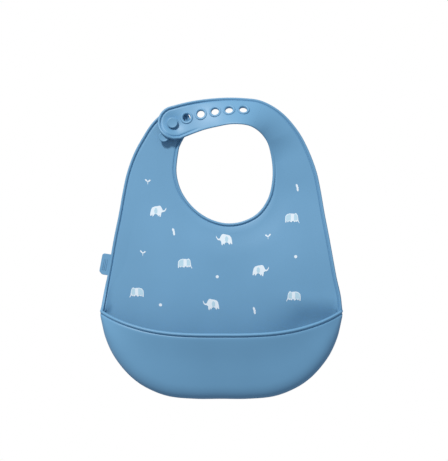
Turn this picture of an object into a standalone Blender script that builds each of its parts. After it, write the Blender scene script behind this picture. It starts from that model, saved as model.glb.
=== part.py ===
"""Silicone bib with a catch pocket, buttoned shut at the neck.

Frame: metres, +X to the wearer's left as seen from the front, +Z up, front faces -Y.
The flat back of the chest panel is the plane y = 0 and the origin is the middle of the neck opening.
All lengths below are in millimetres and are turned into metres when a mesh is made.
A height "h" is a distance in front of the back plane, so y = -h.
"""

import math

import bpy
from mathutils import Vector

MM = 0.001
GAP = 0.25
WALL = 2.0
MID = WALL / 2
BEAD_WIDTH = 2.5
BEAD_DEPTH = 3.0
LIP_WIDTH = 3.2
CREASE = 14.0

# Outer edge of the left side from the shoulder down to the pocket corner: x, z, height of the sheet's middle.
SIDE_LEFT = [
    (-74.5, 36.7, 1.0),
    (-84.1, 19.3, 1.0),
    (-91.2, 0.0, 1.0),
    (-95.4, -19.0, 1.0),
    (-99.0, -40.0, 1.0),
    (-103.6, -63.0, 1.0),
    (-107.6, -86.0, 1.0),
    (-110.6, -103.0, 1.2),
    (-113.3, -119.5, 3.2),
    (-115.9, -133.4, 7.4),
]
SIDE_RIGHT = [
    (75.4, 36.7, 1.2),
    (84.5, 19.3, 1.0),
    (91.6, 0.0, 1.0),
    (95.9, -19.0, 1.0),
    (99.6, -40.0, 1.0),
    (104.0, -63.0, 1.0),
    (107.9, -86.0, 1.0),
    (110.8, -103.0, 1.2),
    (113.5, -119.5, 3.2),
    (115.9, -133.4, 7.4),
]

# Neck opening from the left shoulder, down around the front of the throat and up to the right shoulder.
NECK = [
    (-41.3, 21.0, 1.0),
    (-43.4, 3.0, 1.0),
    (-41.2, -11.0, 1.0),
    (-35.5, -23.5, 1.0),
    (-25.0, -35.8, 1.0),
    (-11.6, -44.6, 1.0),
    (4.0, -49.0, 1.0),
    (20.0, -47.3, 1.0),
    (35.0, -39.3, 1.0),
    (45.0, -25.0, 1.0),
    (49.0, -8.0, 1.1),
    (48.9, 9.0, 1.8),
    (45.6, 25.1, 3.5),
]

# Widest line of the pocket, from the corner round to the middle of the bottom: x, z for the left half.
POCKET_HALF = [
    (116.0, -134.6),
    (114.1, -143.5),
    (109.7, -159.2),
    (100.9, -176.2),
    (86.6, -193.1),
    (70.6, -204.6),
    (50.0, -212.8),
    (25.0, -215.5),
    (0.0, -215.6),
]

# Top edge of the pocket: x, z, height of the wall's middle, right half from the corner to the middle.
LIP_HALF = [
    (114.6, -135.6, 9.5),
    (102.0, -140.8, 21.0),
    (88.0, -146.2, 28.0),
    (69.0, -151.4, 33.5),
    (48.0, -154.4, 36.4),
    (25.0, -155.6, 37.8),
    (0.0, -155.8, 38.0),
]

# Strap, from its root on the right shoulder to the start of the round end.
STRAP_OUTER = [
    (75.4, 36.7, 1.2),
    (62.4, 52.2, 1.5),
    (49.3, 62.1, 1.6),
    (35.8, 68.6, 1.4),
    (22.2, 71.1, 1.2),
    (6.8, 71.7, 1.2),
    (-8.7, 71.1, 1.6),
    (-23.2, 69.6, 2.6),
    (-36.0, 67.3, 4.2),
    (-47.0, 64.6, 5.0),
]
STRAP_INNER = [
    (45.6, 25.1, 3.5),
    (40.6, 34.0, 8.0),
    (34.4, 39.8, 15.0),
    (27.6, 43.4, 19.5),
    (19.0, 45.1, 21.5),
    (8.1, 45.5, 20.0),
    (-3.3, 43.9, 17.0),
    (-15.8, 41.2, 12.8),
    (-27.3, 37.2, 9.8),
    (-40.0, 32.1, 8.6),
]
STRAP_CUTS = (4.5, 6.5)
LOBE_CENTRE = (-45.0, 48.2)
LOBE_RADIUS = 16.8
STUD_UPPER = (-47.1, 47.2)
STUD_LOWER = (-55.2, 34.0)
EYELETS = [
    (-47.1, 47.2),
    (-33.3, 52.3),
    (-19.7, 55.6),
    (-6.0, 57.7),
    (7.4, 58.9),
    (21.0, 59.3),
]

# Shoulder tab that carries the two studs.
TAB_OUTER = [(-74.5, 36.7), (-67.5, 46.0), (-60.0, 53.2), (-52.5, 59.6), (-45.0, 63.0)]
TAB_INNER = [(-41.3, 21.0), (-39.2, 27.0), (-36.5, 32.0), (-32.5, 37.0), (-30.2, 46.0)]
TAB_TIP = (-33.5, 57.5)

EYELET_BORE = 3.75
EYELET_OUTER = 5.4
EYELET_HOLE = 5.65
WORN_OUTER = 6.5
WORN_HOLE = 6.75
EYELET_DEPTH = 2.6

# Two elephants as closed outlines about their own middle, trunk to the left: x, z.
ELEPHANT_RAISED = [
    (-7.4, 4.6), (-6.2, 3.2), (-5.0, 2.4), (-3.4, 4.6), (-1.0, 5.6), (2.6, 5.2), (5.6, 3.6), (7.2, 0.8),
    (7.2, -5.4), (5.4, -5.4), (4.6, -2.6), (2.4, -3.2), (-0.4, -2.6), (-1.6, -5.4), (-3.6, -5.4),
    (-4.4, -1.2), (-6.2, 0.6), (-7.6, 2.4),
]
ELEPHANT_LOWERED = [
    (-6.6, -5.6), (-5.6, -1.0), (-4.6, 3.4), (-1.6, 5.2), (2.4, 5.4), (5.6, 4.0), (6.8, 0.6),
    (6.8, -5.2), (4.8, -5.2), (4.2, -2.6), (1.4, -2.8), (-1.0, -2.6), (-1.8, -5.0), (-3.6, -5.0),
    (-4.2, -3.0),
]
SPROUT = [
    (-0.35, -3.2), (0.35, -3.2), (0.5, -0.6), (2.0, 0.2), (3.2, 1.8), (1.6, 2.2), (0.2, 0.8),
    (-1.2, 2.8), (-3.0, 2.6), (-2.4, 0.8), (-0.5, -0.4),
]
FEATHER = [
    (-0.3, -4.2), (0.3, -4.2), (0.7, -2.8), (1.7, -1.6), (1.9, 1.0), (1.2, 3.4), (0.0, 4.2),
    (-1.2, 3.4), (-1.9, 1.0), (-1.7, -1.6), (-0.7, -2.8),
]
# name, outline, middle x, middle z, mirror (-1 faces right)
PRINTS = [
    ("elephant_1", ELEPHANT_RAISED, -61.1, -37.6, -1),
    ("elephant_2", ELEPHANT_RAISED, 2.8, -64.9, 1),
    ("elephant_3", ELEPHANT_RAISED, 37.7, -94.7, -1),
    ("elephant_4", ELEPHANT_RAISED, -9.8, -127.4, 1),
    ("elephant_5", ELEPHANT_LOWERED, -35.0, -87.9, -1),
    ("elephant_6", ELEPHANT_LOWERED, 68.4, -44.2, -1),
    ("elephant_7", ELEPHANT_LOWERED, -81.8, -115.9, 1),
    ("elephant_8", ELEPHANT_LOWERED, 69.2, -119.3, 1),
    ("sprout_1", SPROUT, -71.0, -8.9, 1),
    ("sprout_2", SPROUT, -75.7, -77.8, 1),
    ("sprout_3", SPROUT, 44.8, -61.8, -1),
    ("feather_1", FEATHER, -46.1, -57.4, 1),
    ("feather_2", FEATHER, 73.2, -14.7, 1),
    ("feather_3", FEATHER, 31.7, -133.2, 1),
]
DOTS = [("dot_1", -4.0, -100.6), ("dot_2", -58.7, -127.8), ("dot_3", 71.4, -81.2)]
DOT_RADIUS = 1.7
INK = 0.12

SILICONE = (0.16, 0.35, 0.54)
SILICONE_LIGHT = (0.20, 0.40, 0.60)
WHITE = (0.80, 0.86, 0.90)
PALE = (0.50, 0.72, 0.82)


def lerp(a, b, t):
    return tuple(p + (q - p) * t for p, q in zip(a, b))


def smooth(low, high, value):
    t = min(1.0, max(0.0, (value - low) / (high - low)))
    return t * t * (3 - 2 * t)


def spline(points, t):
    """Catmull-Rom curve through the points; t runs from 0 to len(points) - 1."""
    last = len(points) - 1
    i = min(int(t), last - 1)
    f = t - i
    p1 = points[i]
    p2 = points[i + 1]
    p0 = points[i - 1] if i > 0 else tuple(2 * a - b for a, b in zip(p1, p2))
    p3 = points[i + 2] if i + 2 <= last else tuple(2 * b - a for a, b in zip(p1, p2))
    return tuple(
        0.5 * (2 * b + (c - a) * f + (2 * a - 5 * b + 4 * c - d) * f * f + (3 * b - a - 3 * c + d) * f ** 3)
        for a, b, c, d in zip(p0, p1, p2, p3)
    )


def run(points, count, start=0.0, end=None):
    stop = len(points) - 1 if end is None else end
    return [spline(points, start + (stop - start) * i / (count - 1)) for i in range(count)]


def inset(path, distance, side):
    """The path moved sideways in the x-z plane; side +1 moves to the left of travel."""
    moved = []
    for i, p in enumerate(path):
        a = path[max(0, i - 1)]
        b = path[min(len(path) - 1, i + 1)]
        dx = b[0] - a[0]
        dz = b[1] - a[1]
        length = math.hypot(dx, dz)
        moved.append((p[0] - side * dz / length * distance, p[1] + side * dx / length * distance) + tuple(p[2:]))
    return moved


def place(x, z, h):
    return Vector((x, -h, z))


MATERIALS = {}


def material(name, colour):
    if name not in MATERIALS:
        m = bpy.data.materials.new(name)
        m.use_nodes = True
        m.node_tree.nodes["Principled BSDF"].inputs["Base Color"].default_value = (*colour, 1)
        m.node_tree.nodes["Principled BSDF"].inputs["Roughness"].default_value = 0.6
        MATERIALS[name] = m
    return MATERIALS[name]


def add(name, points, faces, colour=SILICONE):
    mesh = bpy.data.meshes.new(name)
    mesh.from_pydata([p * MM for p in points], [], faces)
    mesh.validate()
    obj = bpy.data.objects.new(name, mesh)
    bpy.context.scene.collection.objects.link(obj)
    mesh.materials.append(material(name, colour))
    return obj


def sheet(name, points, faces, thickness=WALL, colour=SILICONE, flat=False):
    """A sheet of even thickness about an open surface, closed along its free edges."""
    normals = [Vector((0, 0, 0)) for _ in points]
    edges = {}
    for face in faces:
        normal = Vector((0, 0, 0))
        for i in range(len(face)):
            normal += points[face[i]].cross(points[face[(i + 1) % len(face)]])
            edge = (face[i], face[(i + 1) % len(face)])
            edges[edge] = True
        for v in face:
            normals[v] += normal
    count = len(points)
    front = []
    back = []
    for p, n in zip(points, normals):
        direction = Vector((0, -1, 0)) if flat else n.normalized()
        front.append(p + direction * (thickness / 2))
        back.append(p - direction * (thickness / 2))
    solid = [tuple(face) for face in faces]
    solid += [tuple(v + count for v in reversed(face)) for face in faces]
    for a, b in edges:
        if (b, a) not in edges:
            solid.append((b, a, a + count, b + count))
    return add(name, front + back, solid, colour)


def grid_faces(rows, columns, start=0, wrap=False):
    faces = []
    for i in range(rows - 1):
        for j in range(columns - (0 if wrap else 1)):
            k = (j + 1) % columns
            faces.append((
                start + i * columns + j,
                start + i * columns + k,
                start + (i + 1) * columns + k,
                start + (i + 1) * columns + j,
            ))
    return faces


def bead(name, path, width=BEAD_WIDTH, depth=BEAD_DEPTH, colour=SILICONE_LIGHT, across=None, sides=8):
    """A rounded bead swept along a path of points; across gives the direction over its width at each point."""
    points = []
    count = len(path)
    for i, p in enumerate(path):
        tangent = (path[min(count - 1, i + 1)] - path[max(0, i - 1)]).normalized()
        wide = across[i] if across else Vector((tangent.z, 0, -tangent.x))
        wide = (wide - tangent * wide.dot(tangent)).normalized()
        deep = tangent.cross(wide).normalized()
        for k in range(sides):
            angle = 2 * math.pi * (k + 0.5) / sides
            c = math.copysign(abs(math.cos(angle)) ** 0.6, math.cos(angle))
            s = math.copysign(abs(math.sin(angle)) ** 0.6, math.sin(angle))
            points.append(p + wide * (c * width / 2) + deep * (s * depth / 2))
    faces = grid_faces(count, sides, wrap=True)
    faces = [tuple(reversed(f)) for f in faces]
    faces.append(tuple(range(sides)))
    faces.append(tuple(reversed(range((count - 1) * sides, count * sides))))
    obj = add(name, points, faces, colour)
    return orient(obj)


def orient(obj):
    """Turns every face outward."""
    mesh = obj.data
    volume = 0.0
    for polygon in mesh.polygons:
        v = [mesh.vertices[i].co for i in polygon.vertices]
        for i in range(1, len(v) - 1):
            volume += v[0].dot(v[i].cross(v[i + 1]))
    if volume < 0:
        mesh.flip_normals()
    return obj


def lathe(name, centre, axis, profile, steps=24, colour=SILICONE, hollow=False):
    """A turned piece: profile holds (radius, distance along the axis); hollow ones close on themselves."""
    side = axis.orthogonal().normalized()
    other = axis.cross(side).normalized()
    rows = []
    for radius, along in profile:
        for k in range(steps):
            angle = 2 * math.pi * k / steps
            rows.append(centre + axis * along + (side * math.cos(angle) + other * math.sin(angle)) * radius)
    faces = grid_faces(len(profile), steps, wrap=True)
    if hollow:
        last = (len(profile) - 1) * steps
        for k in range(steps):
            n = (k + 1) % steps
            faces.append((last + k, last + n, n, k))
    else:
        faces.append(tuple(reversed(range(steps))))
        faces.append(tuple(range((len(profile) - 1) * steps, len(profile) * steps)))
    return orient(add(name, rows, faces, colour))


def chain_faces(first, second):
    """Quads between two rows of point numbers of equal length."""
    return [(first[i], first[i + 1], second[i + 1], second[i]) for i in range(len(first) - 1)]


# ---------------------------------------------------------------- pocket surface
def mirror(points):
    """Left corner, round the bottom, to the right corner."""
    left = [(-p[0],) + tuple(p[1:]) for p in points]
    return left + [p for p in reversed(points[:-1])]


OUTLINE = mirror(POCKET_HALF)
LIP = mirror(LIP_HALF)


def arc_table(points, steps=400):
    last = len(points) - 1
    samples = [spline(points, last * i / steps) for i in range(steps + 1)]
    lengths = [0.0]
    for a, b in zip(samples, samples[1:]):
        lengths.append(lengths[-1] + math.dist(a, b))
    return samples, lengths


def at_length(table, fraction):
    samples, lengths = table
    wanted = lengths[-1] * min(1.0, max(0.0, fraction))
    for i in range(1, len(lengths)):
        if lengths[i] >= wanted:
            f = (wanted - lengths[i - 1]) / (lengths[i] - lengths[i - 1])
            return lerp(samples[i - 1], samples[i], f)
    return samples[-1]


OUTLINE_TABLE = arc_table(OUTLINE)
LIP_TABLE = arc_table(LIP)


def outline_at(u):
    """Point on the pocket's widest line and the inward direction there."""
    p = at_length(OUTLINE_TABLE, u)
    a = at_length(OUTLINE_TABLE, u - 0.01)
    b = at_length(OUTLINE_TABLE, u + 0.01)
    dx = b[0] - a[0]
    dz = b[1] - a[1]
    length = math.hypot(dx, dz)
    return p, (-dz / length, dx / length)


def wall_depth(u):
    """Height of the front wall where it meets the side or bottom wall."""
    edge = min(u, 1 - u)
    return 8.0 + 18.0 * math.sin(math.pi / 2 * smooth(-0.04, 0.24, edge) ** 0.8)


def meridian(u):
    """The wall's middle surface from the chest panel, round the side or bottom, to the lip."""
    (x, z), (nx, nz) = outline_at(u)
    edge = min(u, 1 - u)
    depth = wall_depth(u)
    back_round = min(CREASE, 0.54 * depth)
    front_round = min(9.0, 0.36 * depth)
    lip = at_length(LIP_TABLE, u)
    points = []
    for k in range(6):
        angle = math.pi / 2 * k / 5
        points.append((CREASE * (1 - math.sin(angle)), MID + (back_round - MID) * (1 - math.cos(angle))))
    points.append((0.0, (back_round + depth - front_round) / 2))
    path = [(x + nx * d, z + nz * d, h) for d, h in points]
    full = (x + nx * front_round, z + nz * front_round, depth)
    end = lerp(lip, full, 0.06 + 0.94 * smooth(0.0, 0.10, edge))
    base = (x, z, depth - front_round)
    knee = (x, z, depth)
    for k in range(4):
        t = k / 3
        path.append(lerp(lerp(base, knee, t), lerp(knee, end, t), t))
    for t in (0.3, 0.65, 1.0):
        bulge = 3.0 * math.sin(math.pi * t) * smooth(0.0, 0.2, edge)
        p = lerp(end, lip, t)
        path.append((p[0], p[1], p[2] + bulge))
    return path


def corner_side(sign):
    return SIDE_LEFT if sign < 0 else SIDE_RIGHT


# ---------------------------------------------------------------- chest panel
def crease_line(side, sign):
    """Where the curled edge begins: square to the edge above, level at the pocket's corner."""
    line = []
    for p, q in zip(side, inset(side, CREASE + 2 * GAP, sign)):
        level = (p[0] + sign * (CREASE + 2 * GAP), p[1])
        x, z = lerp(q[:2], level, smooth(-90.0, -118.0, p[1]))
        line.append((x, z, MID))
    return line


def chest_panel():
    neck = run(NECK, 33)
    neck_line = inset(neck, BEAD_WIDTH + GAP, -1)
    left = run(SIDE_LEFT, 11)
    right = run(SIDE_RIGHT, 11)
    left_crease = crease_line(left, 1)
    right_crease = crease_line(right, -1)
    left_edge = inset(left, BEAD_WIDTH + GAP, 1)
    right_edge = inset(right, BEAD_WIDTH + GAP, -1)
    under = []
    for i in range(17):
        u = 0.022 + 0.956 * i / 16
        (x, z), (nx, nz) = outline_at(u)
        under.append((x + nx * (CREASE + 2 * GAP), z + nz * (CREASE + 2 * GAP), MID))
    around = left_crease + under
    around = around + list(reversed(right_crease))
    count = len(around)
    inner = [spline(NECK, (len(NECK) - 1) * i / (count - 1)) for i in range(count)]
    inner = inset(inner, BEAD_WIDTH + GAP, -1)
    points = []
    columns = 5
    for a, b in zip(inner, around):
        for j in range(columns):
            t = j / (columns - 1)
            rise = a[2] - MID
            h = MID + rise * max(0.0, 1 - 2.2 * t)
            x, z = lerp(a[:2], b[:2], t)
            points.append(place(x, z, h))
    faces = grid_faces(count, columns)
    # side bands that curl forward to the pocket's corners
    for rows, first in ((left_edge, 0), (list(reversed(right_edge)), count - len(right_edge))):
        outer_ids = []
        middle_ids = []
        for k, p in enumerate(rows):
            base = around[first + k]
            lift = p[2] - MID
            m = lerp(base[:2], p[:2], 0.55)
            middle_ids.append(len(points))
            points.append(place(m[0], m[1], MID + lift * 0.28))
            outer_ids.append(len(points))
            points.append(place(p[0], p[1], p[2]))
        crease_ids = [(first + k) * columns + columns - 1 for k in range(len(rows))]
        for a, b in ((crease_ids, middle_ids), (middle_ids, outer_ids)):
            for i in range(len(rows) - 1):
                faces.append((a[i], b[i], b[i + 1], a[i + 1]))
    return orient(sheet("chest_panel", points, faces, flat=True))


def side_rim(name, side, sign):
    path = inset(run(side, 25), BEAD_WIDTH / 2, sign)
    return bead(name, [place(*p) for p in path])


def neck_rim():
    path = inset(run(NECK, 49), BEAD_WIDTH / 2, -1)
    return bead("neck_rim", [place(*p) for p in path])


# ---------------------------------------------------------------- shoulder tab and studs
def tab_outline():
    start = (TAB_OUTER[0][0] + 0.35, TAB_OUTER[0][1] + 0.55)
    finish = (TAB_INNER[0][0] - 0.2, TAB_INNER[0][1] + 0.75)
    outer = [start] + TAB_OUTER[1:]
    inner = [finish] + TAB_INNER[1:]
    return outer + [TAB_TIP] + list(reversed(inner))


def shoulder_tab():
    edge = run([p + (MID,) for p in tab_outline()], 31)
    bead("tab_rim", [place(*p) for p in inset(edge, BEAD_WIDTH / 2, -1)])
    inner = inset(edge, BEAD_WIDTH + GAP, -1)
    half = len(inner) // 2
    points = []
    for i in range(half):
        a = inner[i]
        b = inner[len(inner) - 1 - i]
        for t in (0.0, 0.5, 1.0):
            points.append(place(*lerp(a, b, t)))
    points.append(place(*inner[half]))
    faces = grid_faces(half, 3)
    tip = len(points) - 1
    base = (half - 1) * 3
    faces.append((base, base + 1, tip))
    faces.append((base + 1, base + 2, tip))
    tab = orient(sheet("shoulder_tab", points, faces, flat=True))
    return tab


def stud(name, centre):
    profile = [(3.2, 0.0), (2.7, 1.2), (2.7, 3.8), (4.6, 3.9), (5.1, 4.3), (5.1, 5.7), (4.5, 6.4)]
    return lathe(name, place(centre[0], centre[1], WALL + 0.05), Vector((0, -1, 0)), profile, steps=20)


# ---------------------------------------------------------------- strap
def lobe_height(x, z, h):
    near = (x - STUD_UPPER[0]) ** 2 + (z - STUD_UPPER[1]) ** 2
    over = (x - STUD_LOWER[0]) ** 2 + (z - STUD_LOWER[1]) ** 2
    return h - 4.2 * math.exp(-near / 85.0) + 4.6 * math.exp(-over / 150.0)


def strap_point(t, w):
    """Middle of the strap's sheet: t runs along it, w runs from the outer edge (0) to the neck edge (1)."""
    a = spline(STRAP_OUTER, t)
    b = spline(STRAP_INNER, t)
    x, z, h = lerp(a, b, w)
    return x, z, lobe_height(x, z, h)


def lobe_point(angle, fraction):
    """Point of the round end: angle from the outer side (0) round the tip to the neck side (1)."""
    turn = math.radians(97 + 192 * angle)
    x = LOBE_CENTRE[0] + LOBE_RADIUS * fraction * math.cos(turn)
    z = LOBE_CENTRE[1] + LOBE_RADIUS * fraction * math.sin(turn)
    h = 5.0 + 3.6 * angle
    h = 6.8 + (h - 6.8) * fraction
    return x, z, lobe_height(x, z, h)


def strap_normal(x, z):
    """Front-facing direction of the strap's surface at the station nearest to x."""
    best = min((abs(strap_point(k / 20, 0.45)[0] - x), k / 20) for k in range(0, 181))[1]
    a = place(*strap_point(min(9.0, best + 0.1), 0.45))
    b = place(*strap_point(max(0.0, best - 0.1), 0.45))
    c = place(*strap_point(best, 0.25))
    d = place(*strap_point(best, 0.65))
    n = (b - a).cross(d - c).normalized()
    if n.y > 0:
        n = -n
    middle = [strap_point(best, w / 40) for w in range(41)]
    nearest = min(middle, key=lambda p: abs(p[1] - z))
    return n, nearest[2]


def cut_hole(obj, centre, normal, radius):
    cutter = lathe("cutter", centre, normal, [(radius, -8.0), (radius, 8.0)], steps=24)
    cutter.hide_render = True
    cutter.display_type = "WIRE"
    change = obj.modifiers.new("hole", "BOOLEAN")
    change.operation = "DIFFERENCE"
    change.solver = "EXACT"
    change.object = cutter
    graph = bpy.context.evaluated_depsgraph_get()
    mesh = bpy.data.meshes.new_from_object(obj.evaluated_get(graph))
    obj.modifiers.clear()
    obj.data = mesh
    bpy.data.objects.remove(cutter)


def strap_piece(name, start, end, rows, holes, lobe=False):
    edge = (BEAD_WIDTH + GAP) / 34.0
    columns = 7
    points = []
    for i in range(rows):
        t = start + (end - start) * i / (rows - 1)
        for j in range(columns):
            w = edge + (1 - 2 * edge) * j / (columns - 1)
            points.append(place(*strap_point(t, w)))
    faces = grid_faces(rows, columns)
    if lobe:
        # the round end is a fan of rings about the lobe's middle, joined to the last row
        last = list(range((rows - 1) * columns, rows * columns))
        fraction = (LOBE_RADIUS - BEAD_WIDTH - GAP) / LOBE_RADIUS
        previous = last
        for ring in range(1, 5):
            current = []
            lean = ring / 4
            for j in range(columns):
                turn = j / (columns - 1)
                tip = lobe_point(turn, fraction)
                p = points[last[j]]
                current.append(len(points))
                points.append(place(*lerp((p.x, p.z, -p.y), tip, lean)))
            faces += chain_faces(previous, current)
            previous = current
    obj = orient(sheet(name, points, faces, colour=SILICONE_LIGHT))
    for k in holes:
        x, z = EYELETS[k]
        normal, h = strap_normal(x, z)
        if k == 0:
            normal = Vector((0, -1, 0))
        cut_hole(obj, place(x, z, h), normal, EYELET_HOLE if k else WORN_HOLE)
    return obj


def strap_bead(name, start, end, count, w):
    path = []
    across = []
    edge = BEAD_WIDTH / 2 / 34.0
    for i in range(count):
        t = start + (end - start) * i / (count - 1)
        at = edge if w == 0 else 1 - edge
        path.append(place(*strap_point(t, at)))
        across.append(place(*strap_point(t, 0.9 if w else 0.1)) - path[-1])
    return bead(name, path, across=across, depth=2.6)


def build_strap():
    gap = 0.045
    limits = [(0.03, STRAP_CUTS[0] - gap), (STRAP_CUTS[0] + gap, STRAP_CUTS[1] - gap), (STRAP_CUTS[1] + gap, 9.0)]
    strap_piece("strap_shoulder", *limits[0], 12, [5])
    strap_piece("strap_middle", *limits[1], 7, [4, 3])
    strap_piece("strap_end", *limits[2], 8, [2, 1, 0], lobe=True)
    strap_bead("strap_rim_shoulder", *limits[0], 16, 0)
    strap_bead("strap_rim_middle", *limits[1], 7, 0)
    end_path = [place(*strap_point(limits[2][0] + (9.0 - limits[2][0]) * i / 7, BEAD_WIDTH / 68)) for i in range(8)]
    fraction = (LOBE_RADIUS - BEAD_WIDTH / 2) / LOBE_RADIUS
    end_path += [place(*lobe_point(i / 18, fraction)) for i in range(1, 19)]
    middle = place(LOBE_CENTRE[0], LOBE_CENTRE[1], 6.0)
    bead("strap_rim_end", end_path, across=[middle - p for p in end_path], depth=2.6)
    for k, (x, z) in enumerate(EYELETS):
        normal, h = strap_normal(x, z)
        if k == 0:
            normal = Vector((0, -1, 0))
            h = 3.95
        half = EYELET_DEPTH / 2
        inner = EYELET_BORE
        outer = EYELET_OUTER if k else WORN_OUTER
        front = half + 0.3
        back = -half
        profile = [
            (inner, back), (outer, back), (outer, half), (outer - 0.5, front), (inner + 0.4, front), (inner, half),
        ]
        lathe("eyelet_%d" % (k + 1), place(x, z, h), normal, profile, steps=20, hollow=True)


# ---------------------------------------------------------------- pocket
def pocket_strip(name, first, last, columns, row_first, row_last, colour=SILICONE):
    points = []
    for i in range(columns):
        u = first + (last - first) * i / (columns - 1)
        path = meridian(u)
        for row in range(row_first, row_last + 1):
            points.append(place(*path[row]))
    faces = grid_faces(columns, row_last - row_first + 1)
    return orient(sheet(name, points, faces, thickness=1.8, colour=colour))


def build_pocket():
    margin = 0.002
    pocket_strip("pocket_side_left", 0.008, FRONT_START - margin, 11, 0, 13)
    pocket_strip("pocket_side_right", FRONT_END + margin, 0.992, 11, 0, 13)
    pocket_strip("pocket_base", FRONT_START + margin, FRONT_END - margin, 17, 0, 10)
    front = []
    columns = 13
    for i in range(columns):
        u = FRONT_START + margin + (FRONT_END - FRONT_START - 2 * margin) * i / (columns - 1)
        path = meridian(u)
        start = lerp(path[10], path[11], 1.3 / math.dist(path[10], path[11]))
        front += [place(*start), place(*path[11]), place(*path[12]), place(*path[13])]
    orient(sheet("pocket_front", front, grid_faces(columns, 4), thickness=1.8))
    for name, a, b, count in (
        ("lip_left", 0.006, FRONT_START - margin, 10),
        ("lip_front", FRONT_START + margin, FRONT_END - margin, 19),
        ("lip_right", FRONT_END + margin, 0.994, 10),
    ):
        path = []
        for i in range(count):
            u = a + (b - a) * i / (count - 1)
            x, z, h = at_length(LIP_TABLE, u)
            path.append(place(x, z + 2.9 - smooth(0.0, 0.12, min(u, 1 - u)), h))
        across = [Vector((0, -1, 0)) for _ in path]
        bead(name, path, width=LIP_WIDTH, depth=2.6, across=across)


FRONT_START = 0.2
FRONT_END = 0.8


# ---------------------------------------------------------------- tag and prints
def side_tag():
    corners = [(-107.1, -79.0), (-114.2, -78.4), (-118.0, -94.0), (-116.6, -97.2), (-110.8, -99.2)]
    points = [place(x, z, MID) for x, z in corners]
    return orient(sheet("side_tag", points, [tuple(range(len(points)))], thickness=1.4, flat=True))


def flat_print(name, outline, x, z, mirrored, colour):
    h = WALL + 0.03 + INK / 2
    points = [place(x + px * mirrored, z + pz, h) for px, pz in outline]
    return orient(sheet(name, points, [tuple(range(len(points)))], thickness=INK, colour=colour, flat=True))


def build_prints():
    for name, outline, x, z, mirrored in PRINTS:
        flat_print(name, outline, x, z, mirrored, WHITE)
    for name, x, z in DOTS:
        ring = [
            (DOT_RADIUS * math.cos(math.pi * k / 6), DOT_RADIUS * math.sin(math.pi * k / 6))
            for k in range(12)
        ]
        flat_print(name, ring, x, z, 1, PALE)


def main():
    for obj in list(bpy.data.objects):
        bpy.data.objects.remove(obj)
    chest_panel()
    side_rim("outer_rim_left", SIDE_LEFT, 1)
    side_rim("outer_rim_right", SIDE_RIGHT, -1)
    neck_rim()
    shoulder_tab()
    stud("stud_upper", STUD_UPPER)
    stud("stud_lower", STUD_LOWER)
    build_strap()
    build_pocket()
    side_tag()
    build_prints()


main()
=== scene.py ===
"""Looks of the silicone bib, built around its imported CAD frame.

All lengths are in millimetres until a mesh is made. A place on the bib is x, z and a height h in front of
the flat back, so y = -h. A row of points runs from the neck edge outward to the bib's own edge. In the
code k counts the points along an outer edge, q those along the neck edge, and u goes from 0 at the
pocket's left corner to 1 at its right one.
"""

import math

import bmesh
import bpy
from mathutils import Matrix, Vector
from mathutils.bvhtree import BVHTree


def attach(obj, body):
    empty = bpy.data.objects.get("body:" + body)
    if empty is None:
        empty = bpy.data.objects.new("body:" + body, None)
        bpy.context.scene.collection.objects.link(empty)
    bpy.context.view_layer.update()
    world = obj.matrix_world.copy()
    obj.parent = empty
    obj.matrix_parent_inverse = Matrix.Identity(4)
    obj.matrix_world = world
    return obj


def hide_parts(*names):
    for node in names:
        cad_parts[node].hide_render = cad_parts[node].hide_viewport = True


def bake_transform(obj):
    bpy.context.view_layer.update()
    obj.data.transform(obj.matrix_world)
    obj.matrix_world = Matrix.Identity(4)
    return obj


MM = 0.001
# Half of the sheet's thickness, width of the fold along its edge and at a pocket corner, scale of its bow.
HALF = 1.0
CREASE = 14.0
CORNER_CREASE = 10.0
BOW = 8.0

# Outer edge, from each pocket corner up to the shoulder: x, z, height.
LEFT_EDGE = [
    (-115.9, -133.4, 8.8), (-113.4, -119.5, 4.8), (-110.7, -103.0, 1.6), (-107.6, -86.0, 1.0),
    (-103.6, -63.0, 1.0), (-99.0, -40.0, 1.0), (-95.4, -19.0, 1.0), (-91.2, 0.0, 1.0),
    (-84.1, 19.3, 1.0), (-74.5, 36.7, 1.0), (-67.8, 46.7, 1.0), (-61.6, 53.3, 1.0), (-56.6, 56.5, 1.0),
]
RIGHT_EDGE = [
    (116.2, -133.4, 8.2), (114.7, -119.5, 8.3), (111.1, -103.0, 7.9), (108.0, -86.0, 7.2),
    (104.0, -63.0, 5.2), (99.7, -40.0, 3.0), (96.2, -19.0, 1.4), (92.2, 0.0, 1.0),
    (85.0, 19.8, 1.0), (75.9, 37.3, 1.2), (63.1, 53.2, 1.5), (50.2, 63.2, 1.6), (36.4, 69.3, 1.4),
    (22.2, 71.1, 1.2), (6.8, 71.7, 1.2), (-8.7, 71.0, 1.8), (-23.2, 69.4, 2.8), (-36.0, 66.9, 3.9),
    (-48.9, 63.6, 4.2),
]
# Neck edge, from the shoulder tab round the throat and along the strap to its round end.
NECK_EDGE = [
    (-32.4, 39.5, 1.0), (-36.6, 32.4, 1.0), (-39.4, 27.0, 1.0),
    (-41.3, 21.0, 1.0), (-43.4, 3.0, 1.0), (-41.2, -11.0, 1.0), (-35.5, -23.5, 1.0), (-25.0, -35.8, 1.0),
    (-11.6, -44.6, 1.0), (4.0, -49.0, 1.0), (20.0, -47.3, 1.0), (35.0, -39.3, 1.0), (45.0, -25.0, 1.0),
    (49.0, -8.0, 1.3), (48.9, 9.0, 2.6), (45.6, 25.1, 5.4), (40.6, 34.0, 9.6), (34.4, 39.8, 14.6),
    (27.6, 43.4, 18.2), (19.0, 45.1, 19.6), (8.1, 45.2, 18.0), (-3.3, 43.3, 14.6), (-15.8, 40.6, 10.6),
    (-27.3, 36.7, 8.4), (-40.0, 31.6, 7.8),
]
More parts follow.
